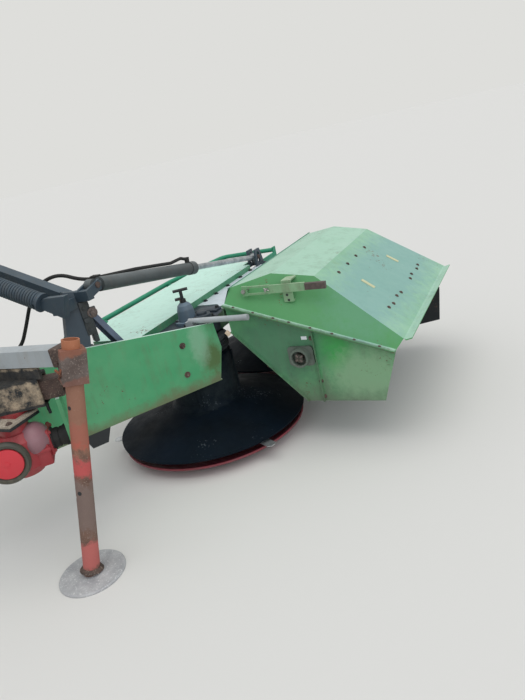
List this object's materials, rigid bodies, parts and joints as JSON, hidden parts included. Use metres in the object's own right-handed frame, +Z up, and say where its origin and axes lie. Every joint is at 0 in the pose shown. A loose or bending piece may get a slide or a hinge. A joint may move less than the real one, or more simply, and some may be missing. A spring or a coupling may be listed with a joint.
{
  "type": "mower conditioner",
  "caption": "Rear-mounted drum mower with a tine conditioner under a sheet hood, lift cylinder, three-point headstock and stand leg.",
  "frame": {"origin": "middle of the base of the bounding box, on the ground", "axes": "+X is the travel direction, +Y points across to the tractor side, +Z is up"},
  "size_m": [2.13, 3.249, 1.302],
  "materials": {
    "green_enamel": "satin, weathered",
    "pale_green_enamel": "satin, faded",
    "grey_enamel": "satin, worn",
    "dark_enamel": "satin, scratched",
    "red_enamel": "satin, dirty",
    "rusty_steel": "matt, rusted",
    "bare_steel": "satin, worn",
    "black_rubber": "matt"
  },
  "bodies": {
    "headstock": {"headstock_frame": "grey_enamel", "hitch_pins": "bare_steel", "stand_tube": "grey_enamel", "leg_clamp": "grey_enamel", "adjuster_box": "dark_enamel", "inner_tube": "dark_enamel", "gearbox": "red_enamel", "output_coupling": "rusty_steel", "drive_bracket": "dark_enamel", "arm_side_plate": "green_enamel", "arm_girder": "green_enamel", "arm_lug": "dark_enamel", "forward_girder": "green_enamel", "hinge_bracket": "dark_enamel", "post": "grey_enamel", "post_strut": "grey_enamel", "top_bar": "grey_enamel", "relief_spring": "dark_enamel", "spring_rod": "dark_enamel", "spring_plate": "dark_enamel", "hinge_pin": "bare_steel", "barrel_pin": "bare_steel", "hydraulic_hose": "black_rubber", "hose_coupler": "dark_enamel"},
    "stand_leg": {"stand_leg": "rusty_steel", "stand_foot": "bare_steel"},
    "input_stub": {"input_stub": "bare_steel"},
    "mower_unit": {"gear_beam": "dark_enamel", "drum_seals": "black_rubber", "front_cover": "pale_green_enamel", "cover_brackets": "dark_enamel", "guard_rail": "green_enamel", "rail_bracket": "dark_enamel", "deck_sheet": "pale_green_enamel", "bell_housing": "grey_enamel", "height_screw": "dark_enamel", "side_panels": "green_enamel", "hood": "green_enamel", "rear_lip": "green_enamel", "swath_board": "dark_enamel", "housing_frame": "green_enamel", "rotor_bearings": "bare_steel", "hood_lever": "green_enamel", "lever_grip": "dark_enamel", "lever_pivot": "bare_steel", "lever_quadrant": "green_enamel", "rod_bracket": "dark_enamel", "rear_rod": "grey_enamel"},
    "drum_inner": {"drum_inner": "dark_enamel", "blades_inner": "dark_enamel"},
    "drum_outer": {"drum_outer": "dark_enamel", "blades_outer": "dark_enamel"},
    "saucer_inner": {"saucer_inner": "red_enamel"},
    "saucer_outer": {"saucer_outer": "red_enamel"},
    "conditioner_rotor": {"conditioner_rotor": "bare_steel"},
    "cylinder_barrel": {"cylinder_barrel": "grey_enamel", "hydraulic_pipe": "black_rubber"},
    "cylinder_rod": {"cylinder_rod": "bare_steel", "rod_pin": "bare_steel"}
  },
  "joints": [
    {"name": "lift_hinge", "type": "hinge", "parent": "headstock", "child": "mower_unit", "pos_m": [-0.009, 0.1945, 0.6], "axis": [-1, 0, 0], "range_deg": [0, 45]},
    {"name": "drum_inner_spin", "type": "hinge", "parent": "mower_unit", "child": "drum_inner", "pos_m": [-0.009, -0.1655, 0.3], "axis": [0, 0, 1], "continuous": true},
    {"name": "drum_outer_spin", "type": "hinge", "parent": "mower_unit", "child": "drum_outer", "pos_m": [-0.009, -1.1155, 0.3], "axis": [0, 0, 1], "continuous": true},
    {"name": "saucer_inner_spin", "type": "hinge", "parent": "mower_unit", "child": "saucer_inner", "pos_m": [-0.009, -0.1655, 0.03], "axis": [0, 0, 1], "continuous": true},
    {"name": "saucer_outer_spin", "type": "hinge", "parent": "mower_unit", "child": "saucer_outer", "pos_m": [-0.009, -1.1155, 0.03], "axis": [0, 0, 1], "continuous": true},
    {"name": "rotor_spin", "type": "hinge", "parent": "mower_unit", "child": "conditioner_rotor", "pos_m": [-0.592, -0.6405, 0.423], "axis": [0, 1, 0], "continuous": true},
    {"name": "input_spin", "type": "hinge", "parent": "headstock", "child": "input_stub", "pos_m": [0.20128, 0.84886, 0.48], "axis": [0.7547, 0.6561, 0], "continuous": true},
    {"name": "stand_slide", "type": "slide", "parent": "headstock", "child": "stand_leg", "axis": [-0.1378, -0.1737, 0.9751], "range_m": [0, 0.32]},
    {"name": "barrel_pivot", "type": "hinge", "parent": "headstock", "child": "cylinder_barrel", "pos_m": [0.091, 0.2805, 0.919], "axis": [-1, 0, 0], "range_deg": [0, 44]},
    {"name": "rod_slide", "type": "slide", "parent": "cylinder_barrel", "child": "cylinder_rod", "axis": [0, -0.982, -0.1888], "range_m": [-0.26, 0]}
  ],
  "couplings": [
    {"joint": "drum_outer_spin", "follows": "drum_inner_spin", "ratio": -1},
    {"joint": "barrel_pivot", "follows": "lift_hinge", "ratio": 0.96737},
    {"joint": "rod_slide", "follows": "lift_hinge", "m_per_rad": -0.3195}
  ]
}
